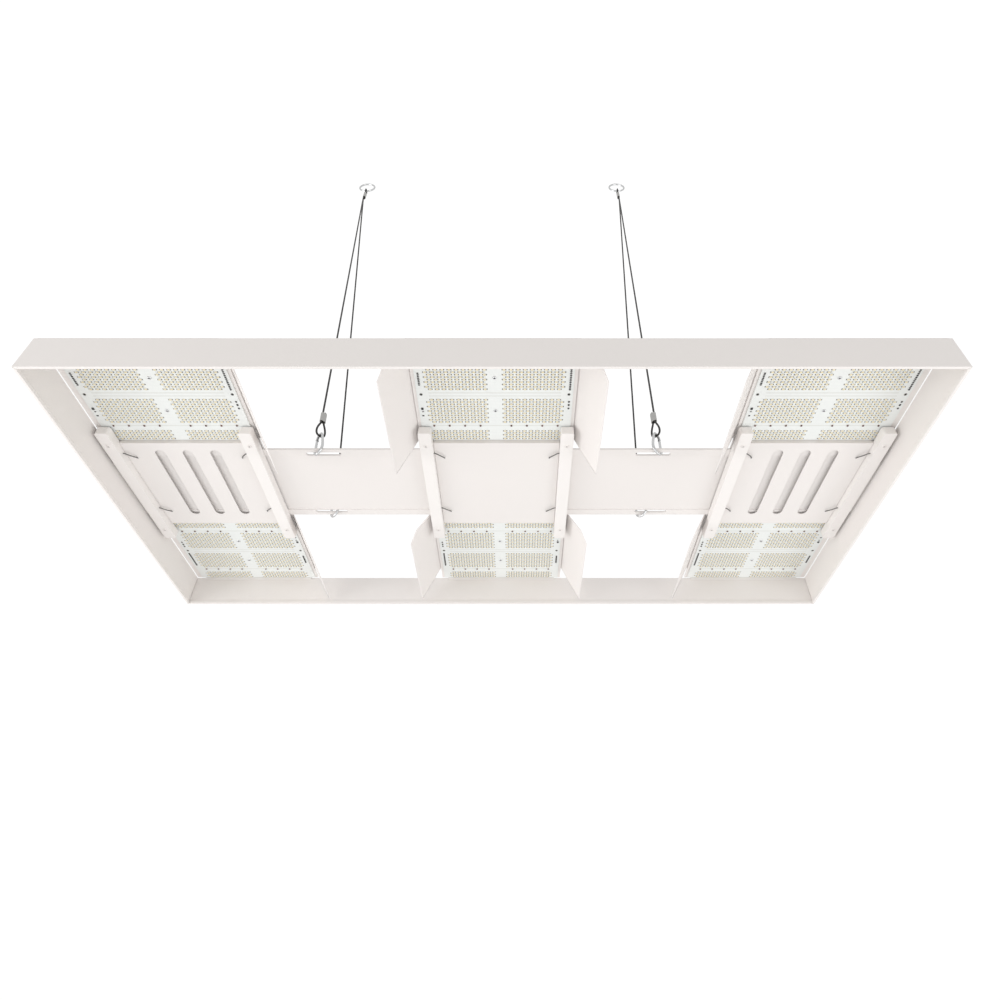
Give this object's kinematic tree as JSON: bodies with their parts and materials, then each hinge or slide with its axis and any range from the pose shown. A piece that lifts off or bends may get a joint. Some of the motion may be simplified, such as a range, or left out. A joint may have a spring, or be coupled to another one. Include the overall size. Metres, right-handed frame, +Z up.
{
  "type": "led grow light",
  "caption": "Slim rectangular LED grow light: an open sheet-metal frame, a crossbar with LED board columns and reflector wings, a driver on top, hung on wire-rope hangers with snap hooks.",
  "frame": {"origin": "above the middle of the frame, at the height where the two hanger rings bear on their hooks, with the light hanging level below", "axes": "+X along the light, from its left column to its right column; +Y across it, from the near long wall to the far long wall, where the driver has its output leads and its dimmer knob; +Z up. The LEDs shine down, along -Z."},
  "size_m": [1.1, 0.522, 1.0427],
  "materials": {
    "white_powder_coat": "satin white powder coat",
    "board_white": "white solder mask on aluminium board",
    "driver_grey": "clear anodised extrusion",
    "black_plastic": "matt black",
    "zinc_steel": "bright zinc plated",
    "ferrule_alloy": "crimped, dull",
    "rope_jacket": "black jacket"
  },
  "bodies": {
    "fixture": {"board_left_far": "board_white", "board_left_near": "board_white", "board_middle_far": "board_white", "board_middle_near": "board_white", "board_right_far": "board_white", "board_right_near": "board_white", "cover_left": "white_powder_coat", "cover_middle": "white_powder_coat", "cover_right": "white_powder_coat", "crossbar": "white_powder_coat", "driver_cap_mains": "driver_grey", "driver_cap_output": "driver_grey", "driver_housing": "driver_grey", "ferrule_far_left": "ferrule_alloy", "ferrule_far_right": "ferrule_alloy", "ferrule_near_left": "ferrule_alloy", "ferrule_near_right": "ferrule_alloy", "hook_far_left": "zinc_steel", "hook_far_right": "zinc_steel", "hook_near_left": "zinc_steel", "hook_near_right": "zinc_steel", "lead_left": "black_plastic", "lead_right": "black_plastic", "mains_gland": "black_plastic", "output_block": "black_plastic", "panel_left": "white_powder_coat", "panel_middle": "white_powder_coat", "panel_right": "white_powder_coat", "rail_left_a": "white_powder_coat", "rail_left_b": "white_powder_coat", "rail_middle_a": "white_powder_coat", "rail_middle_b": "white_powder_coat", "rail_right_a": "white_powder_coat", "rail_right_b": "white_powder_coat", "ring_left": "zinc_steel", "ring_right": "zinc_steel", "rope_left": "rope_jacket", "rope_right": "rope_jacket", "terminal_box_left": "black_plastic", "terminal_box_right": "black_plastic", "top_ferrule_left": "ferrule_alloy", "top_ferrule_right": "ferrule_alloy", "wall_far": "white_powder_coat", "wall_left": "white_powder_coat", "wall_near": "white_powder_coat", "wall_right": "white_powder_coat", "wing_left_right_far": "white_powder_coat", "wing_left_right_near": "white_powder_coat", "wing_middle_left_far": "white_powder_coat", "wing_middle_left_near": "white_powder_coat", "wing_middle_right_far": "white_powder_coat", "wing_middle_right_near": "white_powder_coat", "wing_right_left_far": "white_powder_coat", "wing_right_left_near": "white_powder_coat"},
    "gate_near_left": {"gate_near_left": "zinc_steel"},
    "gate_near_right": {"gate_near_right": "zinc_steel"},
    "gate_far_left": {"gate_far_left": "zinc_steel"},
    "gate_far_right": {"gate_far_right": "zinc_steel"},
    "dimmer": {"dimmer_knob": "black_plastic"}
  },
  "joints": [
    {"name": "gate_near_left_hinge", "type": "hinge", "parent": "fixture", "child": "gate_near_left", "pos_m": [-0.2626, -0.06147, -0.95767], "axis": [0.7071, 0.7071, 0.012], "range_deg": [-28, 0], "stiffness_Nm_per_rad": 0.02, "springref_deg": 20.05},
    {"name": "gate_near_right_hinge", "type": "hinge", "parent": "fixture", "child": "gate_near_right", "pos_m": [0.23592, -0.06146, -0.95728], "axis": [0.707, -0.707, 0.019], "range_deg": [-28, 0], "stiffness_Nm_per_rad": 0.02, "springref_deg": 20.05},
    {"name": "gate_far_left_hinge", "type": "hinge", "parent": "fixture", "child": "gate_far_left", "pos_m": [-0.26978, 0.07487, -0.95659], "axis": [0.7026, 0.7026, 0.1129], "range_deg": [-28, 0], "stiffness_Nm_per_rad": 0.02, "springref_deg": 20.05},
    {"name": "gate_far_right_hinge", "type": "hinge", "parent": "fixture", "child": "gate_far_right", "pos_m": [0.2204, 0.07482, -0.9556], "axis": [0.707, 0.707, 0.0173], "range_deg": [-28, 0], "stiffness_Nm_per_rad": 0.02, "springref_deg": 20.05},
    {"name": "dimmer_turn", "type": "hinge", "parent": "fixture", "child": "dimmer", "pos_m": [0.04, 0.1376, -0.9572], "axis": [0, -1, 0], "range_deg": [0, 270]}
  ]
}
